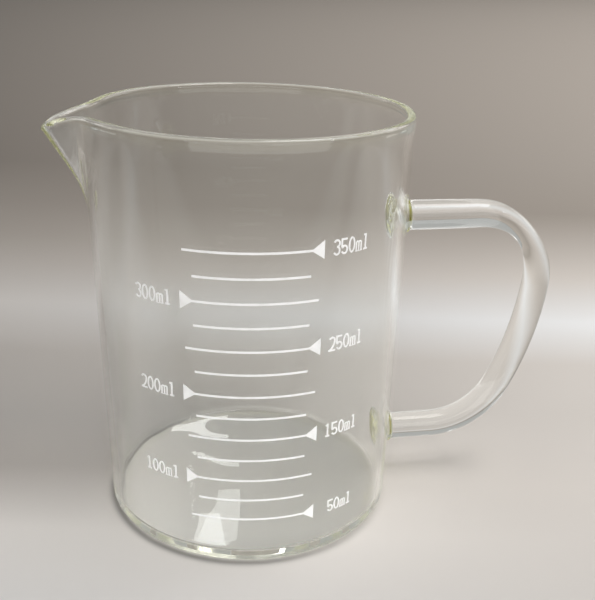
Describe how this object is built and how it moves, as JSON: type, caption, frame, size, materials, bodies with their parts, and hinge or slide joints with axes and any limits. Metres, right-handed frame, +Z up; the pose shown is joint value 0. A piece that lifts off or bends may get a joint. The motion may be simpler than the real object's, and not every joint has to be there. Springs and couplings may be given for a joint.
{
  "type": "graduated beaker with handle",
  "caption": "Clear glass measuring beaker with a drawn pouring spout, a solid glass rod handle fused on at two welds, and a white fired scale in millilitres.",
  "frame": {"origin": "centre of the flat base, on the resting plane", "axes": "+Z up along the vessel's axis, +X towards the handle, -X towards the pouring spout, the printed scale on the -Y side"},
  "size_m": [0.1323, 0.0785, 0.105],
  "materials": {
    "vessel_glass": "clear fire-polished borosilicate",
    "handle_glass": "clear solid rod",
    "weld_glass": "clear, flame-worked, slightly wavy",
    "white_enamel": "fired white enamel, satin"
  },
  "bodies": {
    "root": {"vessel": "vessel_glass", "handle": "handle_glass", "upper_handle_weld": "weld_glass", "lower_handle_weld": "weld_glass", "graduation_050ml": "white_enamel", "graduation_075ml": "white_enamel", "graduation_100ml": "white_enamel", "graduation_125ml": "white_enamel", "graduation_150ml": "white_enamel", "graduation_175ml": "white_enamel", "graduation_200ml": "white_enamel", "graduation_225ml": "white_enamel", "graduation_250ml": "white_enamel", "graduation_275ml": "white_enamel", "graduation_300ml": "white_enamel", "graduation_325ml": "white_enamel", "graduation_350ml": "white_enamel", "label_050ml": "white_enamel", "label_100ml": "white_enamel", "label_150ml": "white_enamel", "label_200ml": "white_enamel", "label_250ml": "white_enamel", "label_300ml": "white_enamel", "label_350ml": "white_enamel"}
  },
  "joints": []
}
